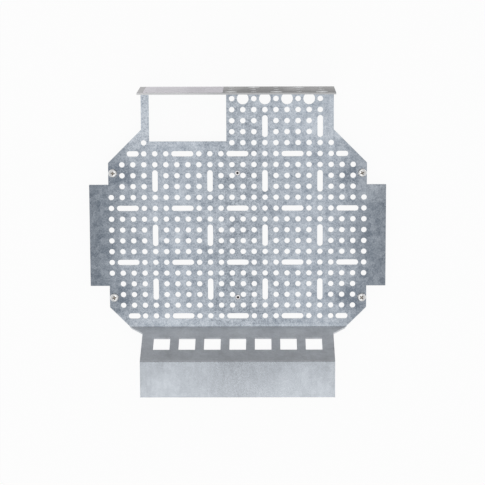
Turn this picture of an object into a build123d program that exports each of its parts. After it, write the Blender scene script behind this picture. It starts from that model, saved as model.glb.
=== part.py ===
"""Perforated mounting plate: one bent galvanised sheet, four captive corner screws, two rivets.

Units are millimetres. The origin is the middle of the hole grid on the plate's back face.
+Z points out of the front and +Y points to the top flange.
"""

from build123d import *

import os
from math import hypot

# Sheet
sheet = 1.5
bend_radius = 0.6

# Outline of the flat plate, with 45 degree corners and a tab on each side
body_width = 235.0
side_height = 133.5
top_width = 174.5
tab_span = 270.0
tab_height = 93.5

# Bent edges: flange at the top, ramp and front panel at the bottom
flange_top = 136.0
tray_depth = 60.0
ramp_line = -85.1
ramp_drop = 18.75
panel_height = 33.25

# Hole grid of the plate, counted from its top left site
pitch = 10.0
columns = 24
rows = 21
centre_column = 11.5
centre_row = 12.5
slot_period = 5
hole_diameter = 5.0
slot_length = 20.0
short_slot_length = 11.0
large_hole_diameter = 10.5
smallest_web = 1.5

# Window beside the upper part of the grid
window_left = -80.0
window_width = 70.0
window_bottom = 86.25
window_to_flange = 4.5

# Holes of the flange, large ones by turns in the front and the back row
flange_pitch = 20.0
flange_columns = 5
flange_rows = 3
flange_middle_x = 35.0
flange_middle_depth = 30.0

# Jack cut-outs in the ramp
jack_count = 7
jack_pitch = 23.0
jack_width = 15.0
jack_height = 22.0

# Captive pan head screws with a cross recess, one near each corner of the plate's sides
screw_to_side = 4.3
screw_to_corner = 9.25
screw_diameter = 4.0
screw_length = 10.0
screw_tip = 0.5
neck_diameter = 3.0
neck_length = 3.0
neck_clearance = 0.2
head_diameter = 8.0
head_height = 3.1
head_bevel = 1.1
recess_span = 4.4
recess_width = 1.2
recess_depth = 1.8

# Rivets on the centre line, level with the screws
rivet_diameter = 3.2
rivet_clearance = 0.05
rivet_head_diameter = 5.2
rivet_head_height = 0.8
rivet_head_bevel = 0.5
rivet_tail_diameter = 4.6
rivet_tail_height = 2.4
rivet_tail_bevel = 0.8
rivet_bore_diameter = 2.2
rivet_bore_depth = 2.0

front = sheet
rim = front + tray_depth
side_x = body_width / 2
top_x = top_width / 2
corner_y = side_height / 2
tab_y = tab_height / 2
slant_top = corner_y + side_x - top_x
fold_x = side_x - (-corner_y - ramp_line)
ramp_end = ramp_line - ramp_drop
panel_end = ramp_end - panel_height
ramp_length = hypot(ramp_drop, tray_depth)
reach = tab_span
punch = 2 * sheet
window_x = window_left + window_width / 2
window_top = flange_top - sheet - window_to_flange
screw_x = side_x - screw_to_side
fastener_y = corner_y - screw_to_corner

# Both planes lie on the front of the sheet, with local y back towards the plate
ramp_face = Plane((0, ramp_line, front), x_dir=(1, 0, 0), z_dir=(0, tray_depth, ramp_drop))
fold_slant = (0, tray_depth, ramp_drop + ramp_length)
fold_face = Plane((0, ramp_line, front), x_dir=(1, 0, 0), z_dir=fold_slant)

# The flange's outer face, with local y back towards the plate
flange_face = Plane((0, flange_top, front), x_dir=(1, 0, 0), z_dir=(0, 1, 0))

screw_spots = {
    f"screw_{level}_{side}": (x * screw_x, y * fastener_y)
    for level, y in (("upper", 1), ("lower", -1))
    for side, x in (("left", -1), ("right", 1))
}
rivet_spots = {"rivet_upper": (0, fastener_y), "rivet_lower": (0, -fastener_y)}


def trim(plane, *corners):
    """Cut the sheet away over an outline on the plane, and over its mirror image."""
    with BuildSketch(plane) as waste:
        with BuildLine():
            Polyline(*corners, close=True)
        make_face()
        mirror(about=Plane.YZ)
    extrude(waste.sketch, amount=reach, both=True, mode=Mode.SUBTRACT)


def site(column, row):
    """Place of a grid site on the plate."""
    return ((column - centre_column) * pitch, (centre_row - row) * pitch)


def is_kept(flat, column, row):
    """A site is punched where metal enough stays round its hole and no fastener's head is near."""
    x, y = site(column, row)
    point = Vertex(x, y, front)
    radius = hole_diameter / 2
    heads = [(*spot, head_diameter / 2) for spot in screw_spots.values()]
    heads += [(*spot, rivet_head_diameter / 2) for spot in rivet_spots.values()]
    is_on_plate = flat.distance_to(point) < smallest_web
    web = min(wire.distance_to(point) for wire in flat.wires()) - radius
    is_clear = all(hypot(x - head_x, y - head_y) > radius + head for head_x, head_y, head in heads)
    return is_on_plate and web >= smallest_web and is_clear


def grid_cuts(flat):
    """Sort the kept sites into round holes, large holes and slots.

    Slots two sites long break every fifth row and column, and a slot with room for only one
    of its sites is a short one. The top row has large holes at every second site instead.
    """
    kept = [(c, r) for r in range(rows) for c in range(columns) if is_kept(flat, c, r)]
    cuts = {"round": [], "large": [], "level": [], "short": [], "upright": []}
    for column, row in kept:
        x, y = site(column, row)
        row_phase, column_phase = row % slot_period, column % slot_period
        if row == 0:
            cuts["round" if column % 2 else "large"].append((x, y))
        elif row_phase == 0 and column_phase in (1, 2):
            partner = column + 1 if column_phase == 1 else column - 1
            if (partner, row) not in kept:
                cuts["short"].append((x, y))
            elif column_phase == 1:
                cuts["level"].append((x + pitch / 2, y))
        elif column_phase == slot_period - 1 and row_phase in (2, 3):
            if row_phase == 2:
                cuts["upright"].append((x, y - pitch / 2))
        else:
            cuts["round"].append((x, y))
    return cuts


def make_screw(spot):
    """Pan head screw seated on the front of the plate.

    Its thread, behind the neck, is too wide for the hole and keeps the screw in the plate.
    """
    seat = Plane((*spot, front))
    with BuildPart() as screw:
        with BuildSketch(seat):
            Circle(head_diameter / 2)
        extrude(amount=head_height)
        chamfer(screw.edges().group_by(Axis.Z)[-1], head_bevel)
        with BuildSketch(seat):
            Circle(neck_diameter / 2)
        extrude(amount=-neck_length)
        with BuildSketch(seat.offset(-neck_length)):
            Circle(screw_diameter / 2)
        extrude(amount=neck_length - screw_length)
        chamfer(screw.edges().group_by(Axis.Z)[0], screw_tip)
        with BuildSketch(seat.offset(head_height)):
            Rectangle(recess_span, recess_width)
            Rectangle(recess_width, recess_span)
        extrude(amount=-recess_depth, mode=Mode.SUBTRACT)
    return screw.part


def make_rivet(spot):
    """Rivet with a blind bore in its low head and a set tail behind the plate."""
    seat = Plane((*spot, front))
    with BuildPart() as rivet:
        with BuildSketch(seat):
            Circle(rivet_head_diameter / 2)
        extrude(amount=rivet_head_height)
        chamfer(rivet.edges().group_by(Axis.Z)[-1], rivet_head_bevel)
        with BuildSketch(seat):
            Circle(rivet_diameter / 2)
        extrude(amount=-sheet)
        with BuildSketch(seat.offset(-sheet)):
            Circle(rivet_tail_diameter / 2)
        extrude(amount=-rivet_tail_height)
        chamfer(rivet.edges().group_by(Axis.Z)[0], rivet_tail_bevel)
        with BuildSketch(seat.offset(rivet_head_height)):
            Circle(rivet_bore_diameter / 2)
        extrude(amount=-rivet_bore_depth, mode=Mode.SUBTRACT)
    return rivet.part


with BuildPart() as mounting_plate:
    # One strip, folded: flange, plate, ramp and front panel, seen along their front side
    with BuildSketch(Plane.YZ):
        with BuildLine():
            FilletPolyline(
                (flange_top - sheet, rim),
                (flange_top - sheet, front),
                (ramp_line, front),
                (ramp_end, rim),
                (panel_end, rim),
                radius=(bend_radius, bend_radius, bend_radius + sheet),
            )
            offset(amount=sheet, side=Side.LEFT)
        make_face()
    extrude(amount=tab_span / 2, both=True)

    # Sides of the plate above and below the tabs
    upper_side = [(side_x, tab_y), (side_x, corner_y), (top_x, slant_top), (top_x, reach)]
    lower_side = [(side_x, -tab_y), (side_x, -corner_y), (fold_x, ramp_line)]
    trim(Plane.XY, (reach, tab_y), *upper_side, (reach, reach))
    trim(Plane.XY, (reach, -tab_y), *lower_side, (reach, ramp_line))

    # Sides of the ramp and the panel, and of the fold between the plate and the ramp
    trim(ramp_face, (reach, 0), (fold_x, 0), (top_x, top_x - fold_x), (top_x, -reach), (reach, -reach))
    trim(fold_face, (reach, sheet), (fold_x + sheet, sheet), (fold_x - sheet, -sheet), (reach, -sheet))

    with BuildSketch():
        with Locations((window_x, window_bottom)):
            Rectangle(window_width, window_top - window_bottom, align=(Align.CENTER, Align.MIN))
    extrude(amount=punch, both=True, mode=Mode.SUBTRACT)
    flat = mounting_plate.faces().filter_by(Plane.XY).sort_by(SortBy.AREA)[-2:].sort_by(Axis.Z)[-1]

    with BuildSketch(ramp_face):
        with Locations((0, -ramp_length / 2)):
            with GridLocations(jack_pitch, 0, jack_count, 1):
                Rectangle(jack_width, jack_height)
    extrude(amount=punch, both=True, mode=Mode.SUBTRACT)

    with BuildSketch(flange_face):
        for column in range(flange_columns):
            for row in range(flange_rows):
                x = flange_middle_x + (column - (flange_columns - 1) / 2) * flange_pitch
                depth = flange_middle_depth + ((flange_rows - 1) / 2 - row) * flange_pitch
                is_large = row == (0 if column % 2 == 0 else flange_rows - 1)
                with Locations((x, -depth)):
                    Circle((large_hole_diameter if is_large else hole_diameter) / 2)
    extrude(amount=punch, both=True, mode=Mode.SUBTRACT)

    cuts = grid_cuts(flat)
    with BuildSketch():
        with Locations(*cuts["round"]):
            Circle(hole_diameter / 2)
        with Locations(*cuts["large"]):
            Circle(large_hole_diameter / 2)
        with Locations(*cuts["level"]):
            SlotOverall(slot_length, hole_diameter)
        with Locations(*cuts["short"]):
            SlotOverall(short_slot_length, hole_diameter)
        with Locations(*cuts["upright"]):
            SlotOverall(slot_length, hole_diameter, rotation=90)
        with Locations(*screw_spots.values()):
            Circle(neck_diameter / 2 + neck_clearance)
        with Locations(*rivet_spots.values()):
            Circle(rivet_diameter / 2 + rivet_clearance)
    extrude(amount=punch, both=True, mode=Mode.SUBTRACT)

pieces = {"mounting_plate": mounting_plate.part}
pieces |= {name: make_screw(spot) for name, spot in screw_spots.items()}
pieces |= {name: make_rivet(spot) for name, spot in rivet_spots.items()}

os.makedirs("parts", exist_ok=True)
for name, piece in pieces.items():
    piece.label = name
    export_step(piece, f"parts/{name}.step")
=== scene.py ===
"""Looks of the perforated mounting plate: its finishes, fasteners, label, floor, light and camera.

Units are metres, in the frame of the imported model: origin in the middle of the hole grid on the
plate's back face, +Z out of the front, +Y to the top flange. Named angles are in degrees.
"""

from math import cos, hypot, pi, radians, sin
from types import SimpleNamespace

import bmesh
import bpy
from mathutils import Euler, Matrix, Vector


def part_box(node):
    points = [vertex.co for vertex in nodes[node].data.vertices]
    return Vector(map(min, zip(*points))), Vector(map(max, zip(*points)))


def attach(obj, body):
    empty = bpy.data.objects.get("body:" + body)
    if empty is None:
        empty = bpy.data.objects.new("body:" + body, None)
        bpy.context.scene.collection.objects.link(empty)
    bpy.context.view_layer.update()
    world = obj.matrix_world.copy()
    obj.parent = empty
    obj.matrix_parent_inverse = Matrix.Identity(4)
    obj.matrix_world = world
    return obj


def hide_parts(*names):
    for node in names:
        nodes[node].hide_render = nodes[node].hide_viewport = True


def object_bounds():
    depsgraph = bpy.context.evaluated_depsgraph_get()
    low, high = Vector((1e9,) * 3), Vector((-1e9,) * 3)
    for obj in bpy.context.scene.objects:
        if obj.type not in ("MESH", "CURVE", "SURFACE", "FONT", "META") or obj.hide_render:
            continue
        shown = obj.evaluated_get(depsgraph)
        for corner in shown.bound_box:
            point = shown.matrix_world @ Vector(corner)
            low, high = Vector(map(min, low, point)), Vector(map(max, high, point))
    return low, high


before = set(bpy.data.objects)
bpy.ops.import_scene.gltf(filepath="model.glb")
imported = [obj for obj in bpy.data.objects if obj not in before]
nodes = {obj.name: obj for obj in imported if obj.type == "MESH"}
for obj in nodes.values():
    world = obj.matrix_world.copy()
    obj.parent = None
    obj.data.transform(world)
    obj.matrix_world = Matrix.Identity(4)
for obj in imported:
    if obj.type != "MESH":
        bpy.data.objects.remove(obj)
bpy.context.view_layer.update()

# Sheet's thickness, the flange's two faces, the rim, and how far the screws sit from the middle
sheet = 0.0015
flange_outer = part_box("mounting_plate")[1].y
flange_inner = flange_outer - sheet
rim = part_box("mounting_plate")[1].z
screw_y = sum(corner.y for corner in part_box("screw_upper_left")) / 2

# The photograph's view: camera place and turn, and its sensor and lens in millimetres
camera_place = Vector((0.0225, 0.3097, 1.865))
camera_turn = Euler((radians(-9.637), radians(0.523), radians(-0.209)))
camera_sensor = 36.0
camera_lens = 153.65

# Light: the sky's level, and a pair of long soft lamps overhead with their own added level
sky_level = 0.62
lamp_level = 0.9
lamp_middle = Vector((-0.01, -0.25, 1.0))
lamp_spacing = 0.195
lamp_width = 0.13
lamp_depth = 1.3

# Floor: white with the object's shadow laid faintly over it
floor_reach = 6.0
floor_shadow = 0.07

# Zones of the sheet by height and along Y, each from where it starts to where it is full
raised_zone = (sheet + 0.0001, sheet + 0.0006)
panel_zone = (rim - 0.0008, rim - 0.0002)
flange_zone = (flange_inner - 0.001, flange_inner - 0.0003)

# How much a face looks to +Y where it starts to be, and where it is, the flange's outside
outside_zone = (0.3, 0.9)

# Zones of the plate: the tabs, the fold to the ramp with a wider strip on its left, the upper
# part, its neck beside the window, darker spots round the screws, and a corner of the right tab
tab_zone = (0.095, 0.122)
fold_zone = (-0.0815, -0.0835)
strip_zone_x = (0.035, -0.030)
strip_zone_y = (-0.071, -0.078)
upper_zone = (0.075, 0.095)
neck_zone = (-0.072, -0.080)
# The plate darker round each screw: its place across, and the distances where that starts and is full
screw_spot_x = 0.101
screw_spot_zone = (0.016, 0.003)
corner_zone_x = (0.105, 0.118)
corner_zone_y = (0.026, 0.036)

# How much lighter the tone of such a zone is than the plate's, below 0 where it is darker
# Painted shade: the tabs darker, as the sheet's sides catch less of the lamps' reflection
tab_painted_shade = -0.25
# Painted light: the plate lighter along the fold to the ramp and in a wider strip on its left
fold_painted_light = 0.2
upper_lightness = 0.1
neck_lightness = 0.2
screw_spot_lightness = -0.3
corner_lightness = 0.25

# How strong the plate's grain and patches are, and what a zone adds to that
grain_contrast = 1.9
tab_grain_contrast = -0.9
neck_grain_contrast = 1.2
patch_contrast = 0.9
tab_patch_contrast = -0.5

# Faces of the sheet, each from one end to the other, and how light its tone is at the two ends
# The ramp's fall in tone towards the rim is painted shade
ramp_painted_shade_face = (0.0, rim, 0.83, 0.25)
# The panel's rise in tone towards its edge is painted light
panel_painted_light_face = (-0.104, -0.137, 0.22, 0.53)
flange_face = (0.004, rim, 0.62, 0.08)
rim_face = (-0.004, -0.050, 0.25, 0.75)

# The flange's outside: its pale left end, and where its dark middle starts and ends
pale_zone = (-0.074, -0.084)
dark_zone_start = (-0.002, 0.008)
dark_zone_end = (0.050, 0.034)
dark_lightness = -0.3

# Cut edges: how level such a face may be, and how high up on the plate
edge_tilt = 0.2
edge_top = sheet + 0.0002

# Depths between which sheared metal turns into torn metal, and how light each of them is
torn_zone = (0.0003, 0.0007, 0.15, 0.75)

# Gloss of the sheet, and what dull zinc adds to it
sheet_metallic = 0.9
sheet_roughness = 0.2
dull_metallic = -0.35
dull_roughness = 0.3

# Dark and light tone of each finish
plate_tones = ((0.1685, 0.20, 0.243, 1), (0.536, 0.577, 0.627, 1))
# The ramp's tones are lifted above the plate's by painted light
ramp_painted_light_tones = ((0.500, 0.518, 0.545, 1), (0.795, 0.824, 0.865, 1))
# The panel's pale tones are painted light
panel_painted_light_tones = ((0.34, 0.365, 0.395, 1), (0.60, 0.635, 0.68, 1))
flange_inner_tones = ((0.22, 0.245, 0.28, 1), (0.52, 0.565, 0.62, 1))
flange_outer_tones = ((0.18, 0.178, 0.18, 1), (0.50, 0.495, 0.50, 1))
edge_tones = ((0.55, 0.555, 0.56, 1), (0.96, 0.97, 0.98, 1))
rim_tones = ((0.50, 0.51, 0.52, 1), (0.87, 0.875, 0.885, 1))
screw_tones = ((0.80, 0.80, 0.80, 1), (0.97, 0.97, 0.96, 1))
# The recess's dark tones are painted shade of the recess
recess_shade_tones = ((0.38, 0.345, 0.30, 1), (0.64, 0.595, 0.54, 1))
rivet_tones = ((0.80, 0.79, 0.81, 1), (0.97, 0.96, 0.97, 1))
# The bore's dark tones are painted shade of the deep bore over the pin's raw steel
bore_shade_tones = ((0.14, 0.128, 0.122, 1), (0.30, 0.28, 0.27, 1))
paper_tones = ((0.70, 0.67, 0.725, 1), (0.94, 0.915, 0.965, 1))
line_tone = (0.36, 0.35, 0.38, 1)
white = (1, 1, 1, 1)

# Screw heads: rounded lower edge, straight side, rounded shoulder and low crown
head_edge = 0.0002
head_side = 0.0011
shoulder_width = 0.0017
shoulder_drop = 0.0001
shoulder_arc = 75.0
crown_radius = 0.0012
crown_drop = 0.00003
crown_flat = 0.0003
head_sides = 56

# Cross recess of a screw head: size, share of its width at the bottom, darkened by painted
# shade up to near the top, and turned from one screw to the next
recess_radius = 0.0026
recess_width = 0.0017
recess_depth = 0.0016
recess_taper = 0.45
recess_margin = 0.0002
recess_turn = 34.0

# Necks and threads of the screws
neck_radius = 0.0015
neck_length = 0.003
thread_radius = 0.002
thread_depth = 0.00043
thread_pitch = 0.0007
thread_tip = 0.0005
thread_sides = 32
thread_steps = 10

# Rivets: shank, bore with its lip and broken pin, dome and tail
rivet_radius = 0.0016
rivet_bore_radius = 0.0011
rivet_bore_depth = 0.002
rivet_lip_width = 0.0001
rivet_lip_depth = 0.00015
rivet_pin_radius = 0.0006
rivet_pin_shoulder = 0.00025
rivet_pin_height = 0.0004
rivet_crown_width = 0.0004
rivet_tail_radius = 0.0023
rivet_end_radius = 0.0002
rivet_arc = 80.0
rivet_sides = 40

# Edges sharper than this angle stay hard
hard_edge = 35.0

# Label on the left of the flange's outer face, and the ruled field on it
label_width = 0.07
label_height = 0.057
label_thickness = 0.0001
label_middle = Vector((-0.047, 0.0, 0.032))
label_corner = 0.002
field_shift = -0.003
field_width = 0.044
field_height = 0.038
line_pitch = 0.0042
line_width = 0.0006
worn_zone = (0.3, 0.6, 0.25, 0.8)
paper_roughness = 0.55

# How light the label is from its right to its left, and what its lower part adds to that
paper_face = (-0.038, -0.048, 0.27, 0.62)
paper_foot = (0.030, 0.004, 0.0, 0.2)


def new_material(name, metallic, roughness):
    """A node material, with its tree, its shader and the place of each surface point."""
    finish = bpy.data.materials.new(name)
    finish.use_nodes = True
    tree = finish.node_tree
    shader = tree.nodes["Principled BSDF"]
    shader.inputs["Metallic"].default_value = metallic
    shader.inputs["Roughness"].default_value = roughness
    place = tree.nodes.new("ShaderNodeTexCoord").outputs["Object"]
    return finish, tree, shader, place


def feed(tree, value, socket):
    """Link a socket, or set a plain value, on an input."""
    if isinstance(value, bpy.types.NodeSocket):
        tree.links.new(value, socket)
    else:
        socket.default_value = value


def noise(tree, place, scale, detail=2.0, roughness=0.5):
    """Soft random texture from 0 to 1."""
    node = tree.nodes.new("ShaderNodeTexNoise")
    node.inputs["Scale"].default_value = scale
    node.inputs["Detail"].default_value = detail
    node.inputs["Roughness"].default_value = roughness
    tree.links.new(place, node.inputs["Vector"])
    return node.outputs["Fac"]


def crystals(tree, place, scale):
    """A random value from 0 to 1 for each cell, as zinc crystals have."""
    cells = tree.nodes.new("ShaderNodeTexVoronoi")
    cells.inputs["Scale"].default_value = scale
    tree.links.new(place, cells.inputs["Vector"])
    split = tree.nodes.new("ShaderNodeSeparateColor")
    tree.links.new(cells.outputs["Color"], split.inputs["Color"])
    return split.outputs["Red"]


def calc(tree, operation, *values):
    """Result of a math operation on sockets or numbers."""
    node = tree.nodes.new("ShaderNodeMath")
    node.operation = operation
    for value, socket in zip(values, node.inputs):
        feed(tree, value, socket)
    return node.outputs["Value"]


def product(tree, first, second):
    """Two values multiplied, so that a zone is held inside another."""
    return calc(tree, "MULTIPLY", first, second)


def largest(tree, first, *others):
    """The largest of several values, so that zones are joined."""
    for other in others:
        first = calc(tree, "MAXIMUM", first, other)
    return first


def parts_of(tree, vector):
    """The X, Y and Z of a vector socket."""
    split = tree.nodes.new("ShaderNodeSeparateXYZ")
    tree.links.new(vector, split.inputs["Vector"])
    return split.outputs


def stretched(tree, place, scale):
    """The place with each axis scaled, so that a texture on it runs long along a small one."""
    node = tree.nodes.new("ShaderNodeMapping")
    node.inputs["Scale"].default_value = scale
    tree.links.new(place, node.inputs["Vector"])
    return node.outputs["Vector"]


def sway(tree, level, *parts):
    """A level with each part's swing from its middle added, part by part and weight by weight."""
    total = level
    for value, weight in parts:
        swing = calc(tree, "SUBTRACT", value, 0.5)
        total = calc(tree, "MULTIPLY_ADD", swing, weight, total)
    return total


def spread(tree, value, low, high, start=0.0, end=1.0):
    """Value mapped smoothly from low..high to start..end."""
    node = tree.nodes.new("ShaderNodeMapRange")
    node.interpolation_type = "SMOOTHSTEP"
    feed(tree, value, node.inputs["Value"])
    for name, number in (("From Min", low), ("From Max", high), ("To Min", start), ("To Max", end)):
        node.inputs[name].default_value = number
    return node.outputs["Result"]


def blend(tree, factor, first, second):
    """Colour between two others."""
    node = tree.nodes.new("ShaderNodeMix")
    node.data_type = "RGBA"
    feed(tree, factor, node.inputs["Factor"])
    for name, colour in (("A", first), ("B", second)):
        socket = next(s for s in node.inputs if s.name == name and s.type == "RGBA")
        feed(tree, colour, socket)
    return next(s for s in node.outputs if s.type == "RGBA")


def relief(tree, shader, height, distance, strength):
    """Dent the surface by a height texture."""
    bump = tree.nodes.new("ShaderNodeBump")
    bump.inputs["Distance"].default_value = distance
    bump.inputs["Strength"].default_value = strength
    tree.links.new(height, bump.inputs["Height"])
    tree.links.new(bump.outputs["Normal"], shader.inputs["Normal"])


def sheet_spot(tree, place):
    """What the sheet's tones are mixed from at a spot: its place, tilt, textures and zones."""
    x, y, z = parts_of(tree, place)
    tilt = parts_of(tree, tree.nodes.new("ShaderNodeNewGeometry").outputs["Normal"])
    long_in_y = stretched(tree, place, (1.0, 0.25, 1.0))
    long_in_z = stretched(tree, place, (1.0, 1.0, 0.12))
    raised = spread(tree, z, *raised_zone)
    outside = spread(tree, tilt["Y"], *outside_zone)
    return SimpleNamespace(
        x=x,
        y=y,
        z=z,
        tilt_y=calc(tree, "ABSOLUTE", tilt["Y"]),
        tilt_z=calc(tree, "ABSOLUTE", tilt["Z"]),
        grain=noise(tree, place, scale=600.0, detail=3.0, roughness=0.8),
        patches=noise(tree, place, scale=170.0, detail=2.0, roughness=0.6),
        clouds=noise(tree, place, scale=45.0, detail=3.0, roughness=0.55),
        streaks=noise(tree, long_in_y, scale=130.0, detail=3.0, roughness=0.6),
        scores=noise(tree, long_in_z, scale=1800.0, detail=3.0, roughness=0.6),
        cells=crystals(tree, place, scale=260.0),
        raised=raised,
        outside=outside,
        panel=spread(tree, z, *panel_zone),
        flange=product(tree, spread(tree, y, *flange_zone), largest(tree, raised, outside)),
    )


def plate_tone(tree, spot):
    """Cloudy mottle, plainer on the tabs, with lighter and darker zones, some painted light and
    shade.
    """
    from_side = calc(tree, "ABSOLUTE", spot.x)
    tab = spread(tree, from_side, *tab_zone)
    strip = product(tree, spread(tree, spot.x, *strip_zone_x), spread(tree, spot.y, *strip_zone_y))
    fold = largest(tree, strip, spread(tree, spot.y, *fold_zone))
    upper = spread(tree, spot.y, *upper_zone)
    neck = product(tree, spread(tree, spot.x, *neck_zone), upper)
    corner = product(tree, spread(tree, spot.x, *corner_zone_x), spread(tree, spot.y, *corner_zone_y))
    away_x = calc(tree, "SUBTRACT", from_side, screw_spot_x)
    away_y = calc(tree, "SUBTRACT", calc(tree, "ABSOLUTE", spot.y), screw_y)
    away = calc(tree, "MULTIPLY_ADD", away_x, away_x, product(tree, away_y, away_y))
    screw_spot = spread(tree, calc(tree, "SQRT", away), *screw_spot_zone)

    grain = calc(tree, "MULTIPLY_ADD", tab, tab_grain_contrast, grain_contrast)
    grain = calc(tree, "MULTIPLY_ADD", neck, neck_grain_contrast, grain)
    patch = calc(tree, "MULTIPLY_ADD", tab, tab_patch_contrast, patch_contrast)
    level = sway(tree, 0.5, (spot.grain, grain), (spot.patches, patch))
    level = sway(tree, level, (spot.clouds, 0.5), (spot.cells, 0.25))
    for zone, lightness in (
        # Painted shade on the tabs
        (tab, tab_painted_shade),
        # Painted light along the fold
        (fold, fold_painted_light),
        (upper, upper_lightness),
        (neck, neck_lightness),
        (screw_spot, screw_spot_lightness),
        (corner, corner_lightness),
    ):
        level = calc(tree, "MULTIPLY_ADD", zone, lightness, level)
    return blend(tree, level, *plate_tones)


def ramp_tone(tree, spot):
    """Dull grey, lifted by painted light, and darker towards the rim by painted shade."""
    level = spread(tree, spot.z, *ramp_painted_shade_face)
    level = sway(
        tree, level, (spot.clouds, 0.9), (spot.patches, 0.5), (spot.streaks, 0.7), (spot.grain, 0.9)
    )
    return blend(tree, level, *ramp_painted_light_tones)


def panel_tone(tree, spot):
    """Softly streaked, made pale and lighter towards the edge by painted light."""
    level = spread(tree, spot.y, *panel_painted_light_face)
    level = sway(tree, level, (spot.streaks, 0.65), (spot.clouds, 0.6), (spot.grain, 1.0))
    return blend(tree, level, *panel_painted_light_tones)


def flange_tone(tree, spot):
    """Mottled inside, and grey outside, darker towards the rim and right of the middle."""
    level = sway(tree, 0.5, (spot.clouds, 0.9), (spot.patches, 0.7), (spot.grain, 0.9))
    inside = blend(tree, level, *flange_inner_tones)
    pale = spread(tree, spot.x, *pale_zone)
    start, end = spread(tree, spot.x, *dark_zone_start), spread(tree, spot.x, *dark_zone_end)
    level = calc(tree, "ADD", pale, spread(tree, spot.z, *flange_face))
    level = calc(tree, "MULTIPLY_ADD", product(tree, start, end), dark_lightness, level)
    level = sway(tree, level, (spot.clouds, 0.7), (spot.streaks, 0.5), (spot.grain, 0.4))
    outside = blend(tree, level, *flange_outer_tones)
    return blend(tree, spot.outside, inside, outside)


def edge_tone(tree, spot):
    """Sheared metal behind and light torn metal in front, and a grey rim, lighter to the left."""
    past_inner = calc(tree, "SUBTRACT", spot.y, flange_inner)
    past_inner = calc(tree, "SUBTRACT", past_inner, spot.z)
    through = calc(tree, "MULTIPLY_ADD", spot.flange, past_inner, spot.z)
    level = sway(tree, spread(tree, through, *torn_zone), (spot.scores, 1.3))
    walls = blend(tree, level, *edge_tones)
    level = sway(tree, spread(tree, spot.x, *rim_face), (spot.grain, 0.5))
    return blend(tree, spot.panel, walls, blend(tree, level, *rim_tones))


def cut_edges(tree, spot):
    """Zone of the walls that cutting and punching left, on the plate and on the flange."""
    low = calc(tree, "LESS_THAN", spot.z, edge_top)
    on_plate = product(tree, calc(tree, "LESS_THAN", spot.tilt_z, edge_tilt), low)
    on_flange = product(tree, calc(tree, "LESS_THAN", spot.tilt_y, edge_tilt), spot.flange)
    return largest(tree, on_plate, on_flange)


def dull_zinc(tree, spot, edges):
    """Zone of dull zinc: the ramp, the cut edges and the flange's outside."""
    ramp = calc(tree, "SUBTRACT", spot.raised, spot.panel)
    ramp = product(tree, ramp, calc(tree, "LESS_THAN", spot.y, 0.0))
    return largest(tree, ramp, edges, product(tree, spot.flange, spot.outside))


def galvanised_finish():
    """Zinc on rolled sheet: cloudy mottle on the plate, duller where bent up, bright cut edges."""
    finish, tree, shader, place = new_material("galvanised_sheet", sheet_metallic, sheet_roughness)
    spot = sheet_spot(tree, place)
    edges = cut_edges(tree, spot)
    tone = plate_tone(tree, spot)
    tone = blend(tree, spot.raised, tone, ramp_tone(tree, spot))
    tone = blend(tree, spot.panel, tone, panel_tone(tree, spot))
    tone = blend(tree, spot.flange, tone, flange_tone(tree, spot))
    tone = blend(tree, edges, tone, edge_tone(tree, spot))
    tree.links.new(tone, shader.inputs["Base Color"])

    dull = dull_zinc(tree, spot, edges)
    roughness = sway(tree, sheet_roughness, (spot.grain, 0.2), (spot.cells, 0.05))
    roughness = calc(tree, "MULTIPLY_ADD", dull, dull_roughness, roughness)
    tree.links.new(roughness, shader.inputs["Roughness"])
    metallic = calc(tree, "MULTIPLY_ADD", dull, dull_metallic, sheet_metallic)
    tree.links.new(metallic, shader.inputs["Metallic"])
    relief(tree, shader, spot.grain, distance=0.00005, strength=0.3)
    return finish


def metal_finish(name, tones, metallic, roughness, swing, scale, detail, dents=0.0):
    """A metal whose grain blends two tones, sways the roughness and may dent the surface."""
    finish, tree, shader, place = new_material(name, metallic, roughness)
    grain = noise(tree, place, scale, detail)
    tree.links.new(blend(tree, grain, *tones), shader.inputs["Base Color"])
    tree.links.new(sway(tree, roughness, (grain, swing)), shader.inputs["Roughness"])
    if dents:
        relief(tree, shader, grain, distance=dents, strength=0.2)
    return finish


def screw_finish():
    """Bright zinc plating."""
    return metal_finish(
        "screw_steel", screw_tones, metallic=1.0, roughness=0.26, swing=0.2,
        scale=1500.0, detail=2.0, dents=0.00002,
    )


def recess_finish():
    """The recess of a screw head: dull and brownish, darkened by painted shade of the recess."""
    return metal_finish(
        "screw_recess", recess_shade_tones, metallic=0.7, roughness=0.55, swing=0.3,
        scale=900.0, detail=3.0,
    )


def rivet_finish():
    """Plated rivet steel."""
    return metal_finish(
        "rivet_steel", rivet_tones, metallic=1.0, roughness=0.32, swing=0.25,
        scale=1200.0, detail=2.0, dents=0.00002,
    )


def bore_finish():
    """The rivet's bore: raw steel of the broken pin, darkened by painted shade of the deep bore."""
    return metal_finish(
        "rivet_bore", bore_shade_tones, metallic=0.8, roughness=0.5, swing=0.3,
        scale=1400.0, detail=3.0,
    )


def ruled_lines(tree, x, z):
    """Zone of the label's ruled lines."""
    in_width = calc(tree, "COMPARE", x, label_middle.x + field_shift, field_width / 2)
    in_height = calc(tree, "COMPARE", z, label_middle.z, field_height / 2)
    wave = calc(tree, "SUBTRACT", z, label_middle.z)
    wave = calc(tree, "PINGPONG", wave, line_pitch / 2)
    on_line = calc(tree, "LESS_THAN", wave, line_width / 2)
    return product(tree, product(tree, in_width, in_height), on_line)


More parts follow.
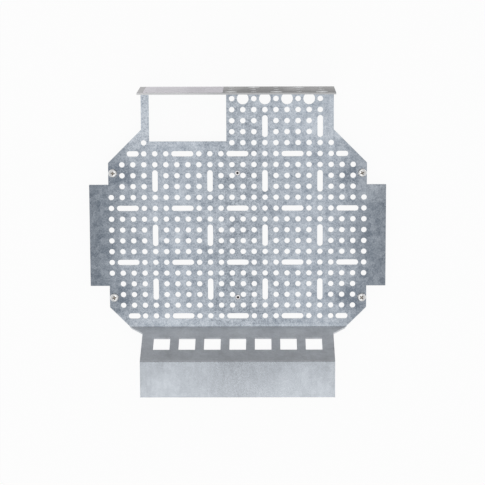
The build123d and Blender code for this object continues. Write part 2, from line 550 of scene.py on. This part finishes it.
def label_finish():
    """Matt pale paper with a faint ruled field, lighter to the left and below, and scuffed."""
    finish, tree, shader, place = new_material("label_paper", 0.0, paper_roughness)
    x, _, z = parts_of(tree, place)
    long_in_x = stretched(tree, place, (0.3, 1.0, 1.0))
    fibre = noise(tree, place, scale=700.0, detail=4.0, roughness=0.6)
    scuffs = noise(tree, long_in_x, scale=160.0, detail=4.0, roughness=0.7)
    level = calc(tree, "ADD", spread(tree, x, *paper_face), spread(tree, z, *paper_foot))
    paper = blend(tree, sway(tree, level, (fibre, 0.38), (scuffs, 0.49)), *paper_tones)
    lines = product(tree, ruled_lines(tree, x, z), spread(tree, scuffs, *worn_zone))
    tree.links.new(blend(tree, lines, paper, line_tone), shader.inputs["Base Color"])
    roughness = sway(tree, paper_roughness, (fibre, 0.2), (scuffs, 0.3))
    tree.links.new(roughness, shader.inputs["Roughness"])
    relief(tree, shader, fibre, distance=0.00003, strength=0.2)
    return finish


def floor_finish():
    """White floor that still takes the object's shadow."""
    finish = bpy.data.materials.new("floor")
    finish.use_nodes = True
    tree = finish.node_tree
    tree.nodes.clear()
    ray = tree.nodes.new("ShaderNodeLightPath").outputs
    seen = largest(tree, ray["Is Camera Ray"], ray["Is Glossy Ray"], ray["Is Transmission Ray"])
    paint = tree.nodes.new("ShaderNodeBsdfDiffuse")
    paint.inputs["Color"].default_value = white
    glow = tree.nodes.new("ShaderNodeEmission")
    mix = tree.nodes.new("ShaderNodeMixShader")
    tree.links.new(product(tree, seen, 1 - floor_shadow), mix.inputs["Fac"])
    tree.links.new(paint.outputs["BSDF"], mix.inputs[1])
    tree.links.new(glow.outputs["Emission"], mix.inputs[2])
    output = tree.nodes.new("ShaderNodeOutputMaterial")
    tree.links.new(mix.outputs["Shader"], output.inputs["Surface"])
    return finish


def add_object(name, mesh, *finishes):
    """A mesh object in the scene with its finishes."""
    thing = bpy.data.objects.new(name, mesh)
    for finish in finishes:
        mesh.materials.append(finish)
    bpy.context.collection.objects.link(thing)
    return thing


def ring(centre, radius, height, sides):
    """Points of a level circle about a centre line."""
    turns = [2 * pi * i / sides for i in range(sides)]
    return [(centre.x + radius * cos(a), centre.y + radius * sin(a), height) for a in turns]


def closed_rings(rings):
    """A closed form over rings of points of equal count, its ends filled."""
    form = bmesh.new()
    loops = [[form.verts.new(point) for point in points] for points in rings]
    count = len(loops[0])
    for lower, upper in zip(loops, loops[1:]):
        for i in range(count):
            j = (i + 1) % count
            form.faces.new((lower[i], lower[j], upper[j], upper[i]))
    form.faces.new(reversed(loops[0]))
    form.faces.new(loops[-1])
    return form


def turned(centre, outline, sides):
    """A closed form turned about a centre line from (radius, height) pairs."""
    return closed_rings([ring(centre, radius, height, sides) for radius, height in outline])


def arc(middle, radius_out, radius_up, start, end, steps):
    """(radius, height) pairs along an elliptic arc about a middle, angles in degrees."""
    angles = [radians(start + (end - start) * i / steps) for i in range(steps + 1)]
    return [(middle[0] + radius_out * cos(a), middle[1] + radius_up * sin(a)) for a in angles]


def smooth(mesh):
    """Shade a mesh smooth, with its sharp edges kept hard."""
    mesh.shade_smooth()
    mesh.set_sharp_from_angle(angle=radians(hard_edge))


def as_mesh(form, name):
    """The form as a smooth mesh."""
    bmesh.ops.recalc_face_normals(form, faces=form.faces)
    mesh = bpy.data.meshes.new(name)
    form.to_mesh(mesh)
    form.free()
    smooth(mesh)
    return mesh


def cross_cutter(centre, top, start):
    """Two tapered blades crossed, for the recess of a screw head, the first turned to an angle."""
    form = bmesh.new()
    for turn in (start, start + pi / 2):
        corners = []
        for height, share in ((top + recess_depth, 1.0), (top - recess_depth, recess_taper)):
            for along, across in ((-1, -1), (1, -1), (1, 1), (-1, 1)):
                u, v = along * recess_radius * share, across * recess_width / 2 * share
                x, y = u * cos(turn) - v * sin(turn), u * sin(turn) + v * cos(turn)
                corners.append(form.verts.new((centre.x + x, centre.y + y, height)))
        for i in range(4):
            j = (i + 1) % 4
            form.faces.new((corners[i], corners[j], corners[4 + j], corners[4 + i]))
        form.faces.new(corners[:4])
        form.faces.new(corners[4:])
    return form


def cut(thing, cutter_form):
    """Cut a form out of an object, and bake the result into the object's mesh."""
    cutter = add_object("cutter", as_mesh(cutter_form, "cutter"))
    modifier = thing.modifiers.new("recess", "BOOLEAN")
    modifier.object = cutter
    modifier.solver = "EXACT"
    modifier.use_self = True
    shaped = thing.evaluated_get(bpy.context.evaluated_depsgraph_get())
    baked = bpy.data.meshes.new_from_object(shaped)
    thing.modifiers.clear()
    thing.data = baked
    bpy.data.objects.remove(cutter)


def line_hollow(thing, centre, radius, low, high):
    """Give the second finish to the faces near the centre line and between two heights."""
    for face in thing.data.polygons:
        middle = face.center
        is_near = hypot(middle.x - centre.x, middle.y - centre.y) < radius
        face.material_index = 1 if is_near and low < middle.z < high else 0


def thread_rings(centre, start, end):
    """Rings of a shank whose radius waves along a helix, plain at its two ends."""
    count = round((start - end) / thread_pitch * thread_steps)
    rings = []
    for i in range(count + 1):
        height = start + (end - start) * i / count
        fade = min(1.0, (start - height) / thread_pitch, (height - end) / thread_tip)
        points = []
        for k in range(thread_sides):
            turn = 2 * pi * k / thread_sides
            phase = (height / thread_pitch + k / thread_sides) % 1.0
            depth = thread_depth * (1.0 - fade * abs(2 * phase - 1))
            radius = thread_radius - depth
            points.append((centre.x + radius * cos(turn), centre.y + radius * sin(turn), height))
        rings.append(points)
    return rings


def add_thread(mesh, centre, tip):
    """Join a threaded shank to a screw's mesh, from the end of its neck to the tip."""
    thread = closed_rings(thread_rings(centre, sheet - neck_length, tip))
    bmesh.ops.recalc_face_normals(thread, faces=thread.faces)
    thread.from_mesh(mesh)
    thread.to_mesh(mesh)
    thread.free()
    smooth(mesh)


def make_screw(node, turn, steel, recess_steel):
    """Pan head screw with a cross recess, a neck in the plate and a thread behind it."""
    low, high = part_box(node)
    centre = (low + high) / 2
    head = (high.x - low.x) / 2
    top = high.z
    edge = (head - head_edge, sheet + head_edge)
    shoulder = (head - shoulder_width, sheet + head_side)
    shoulder_height = top - shoulder_drop - shoulder[1]
    outline = [(neck_radius, sheet - neck_length), (neck_radius, sheet), (edge[0], sheet)]
    outline += arc(edge, head_edge, head_edge, -90, 0, steps=3)
    outline += arc(shoulder, shoulder_width, shoulder_height, 0, shoulder_arc, steps=8)
    outline += [(crown_radius, top - crown_drop), (crown_flat, top)]
    form = turned(centre, outline, head_sides)
    screw = add_object(f"{node}_detailed", as_mesh(form, node), steel, recess_steel)
    cut(screw, cross_cutter(centre, top, turn))
    line_hollow(screw, centre, recess_radius, sheet, top - recess_margin)
    add_thread(screw.data, centre, low.z)
    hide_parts(node)
    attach(screw, "root")


def make_rivet(node, steel, bore_steel):
    """Blind rivet: domed head with its bore and broken pin, and a set tail."""
    low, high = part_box(node)
    centre = (low + high) / 2
    head = (high.x - low.x) / 2
    top, tail = high.z, low.z
    bore, bore_floor = rivet_bore_radius, top - rivet_bore_depth
    crown = bore + rivet_crown_width
    bulge = rivet_tail_radius - rivet_radius
    outline = [(rivet_end_radius, bore_floor + rivet_pin_height)]
    outline += [(rivet_pin_radius, bore_floor + rivet_pin_shoulder), (bore, bore_floor)]
    outline += [(bore, top - rivet_lip_depth), (bore + rivet_lip_width, top)]
    outline += arc((crown, sheet), head - crown, top - sheet, rivet_arc, 0, steps=8)
    outline += [(rivet_radius, sheet), (rivet_radius, 0)]
    outline += arc((rivet_radius, tail / 2), bulge, -tail / 2, rivet_arc, -rivet_arc, steps=8)
    outline += [(rivet_end_radius, tail)]
    form = turned(centre, outline, rivet_sides)
    rivet = add_object(f"{node}_detailed", as_mesh(form, node), steel, bore_steel)
    line_hollow(rivet, centre, bore, bore_floor, top)
    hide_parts(node)
    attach(rivet, "root")


def make_label(finish):
    """Blank paper label with round corners, stuck on the flange's outer face."""
    across, up = label_width / 2 - label_corner, label_height / 2 - label_corner
    corners = []
    for x, z, start in ((1, 1, 0), (-1, 1, 90), (-1, -1, 180), (1, -1, 270)):
        middle = (x * across, z * up)
        corners += arc(middle, label_corner, label_corner, start, start + 90, steps=5)
    sides = [
        [(label_middle.x + u, flange_outer + depth, label_middle.z + v) for u, v in corners]
        for depth in (0, label_thickness)
    ]
    label = add_object("label", as_mesh(closed_rings(sides), "label"), finish)
    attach(label, "root")


def make_floor():
    """Plain floor that the screws' tips rest on."""
    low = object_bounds()[0][2]
    reach = floor_reach / 2
    corners = ((-reach, -reach), (reach, -reach), (reach, reach), (-reach, reach))
    form = bmesh.new()
    form.faces.new([form.verts.new((x, y, low)) for x, y in corners])
    add_object("floor", as_mesh(form, "floor"), floor_finish())


def make_sky():
    """World that is white to the camera and lights the object at the sky's level."""
    sky = bpy.data.worlds.new("sky")
    sky.use_nodes = True
    tree = sky.node_tree
    back = tree.nodes["Background"]
    ray = tree.nodes.new("ShaderNodeLightPath").outputs
    level = spread(tree, ray["Is Camera Ray"], 0.0, 1.0, sky_level, 1.0)
    tree.links.new(level, back.inputs["Strength"])
    back.inputs["Color"].default_value = white
    bpy.context.scene.world = sky


def make_lamps():
    """A pair of long soft lamps overhead, out of the camera's sight."""
    for side in (-1, 1):
        lamp = bpy.data.lights.new("soft_lamp", "AREA")
        lamp.shape = "RECTANGLE"
        lamp.size = lamp_width
        lamp.size_y = lamp_depth
        lamp.energy = lamp_level * pi * lamp_width * lamp_depth
        holder = bpy.data.objects.new("soft_lamp", lamp)
        holder.location = lamp_middle + Vector((side * lamp_spacing / 2, 0, 0))
        holder.visible_camera = False
        bpy.context.collection.objects.link(holder)


def make_camera():
    """Camera at the photograph's place, turn and lens."""
    lens = bpy.data.cameras.new("camera")
    lens.sensor_width = camera_sensor
    lens.lens = camera_lens
    eye = bpy.data.objects.new("camera", lens)
    eye.location = camera_place
    eye.rotation_euler = camera_turn
    bpy.context.collection.objects.link(eye)
    bpy.context.scene.camera = eye


plate_mesh = nodes["mounting_plate"].data
plate_mesh.materials.clear()
plate_mesh.materials.append(galvanised_finish())

steel, recess_steel = screw_finish(), recess_finish()
rivet_steel, bore_steel = rivet_finish(), bore_finish()
for number, name in enumerate(sorted(nodes)):
    if name.startswith("screw"):
        make_screw(name, radians(recess_turn * number), steel, recess_steel)
    elif name.startswith("rivet"):
        make_rivet(name, rivet_steel, bore_steel)
make_label(label_finish())

make_floor()
make_sky()
make_lamps()
make_camera()
bpy.context.scene.view_settings.view_transform = "Standard"
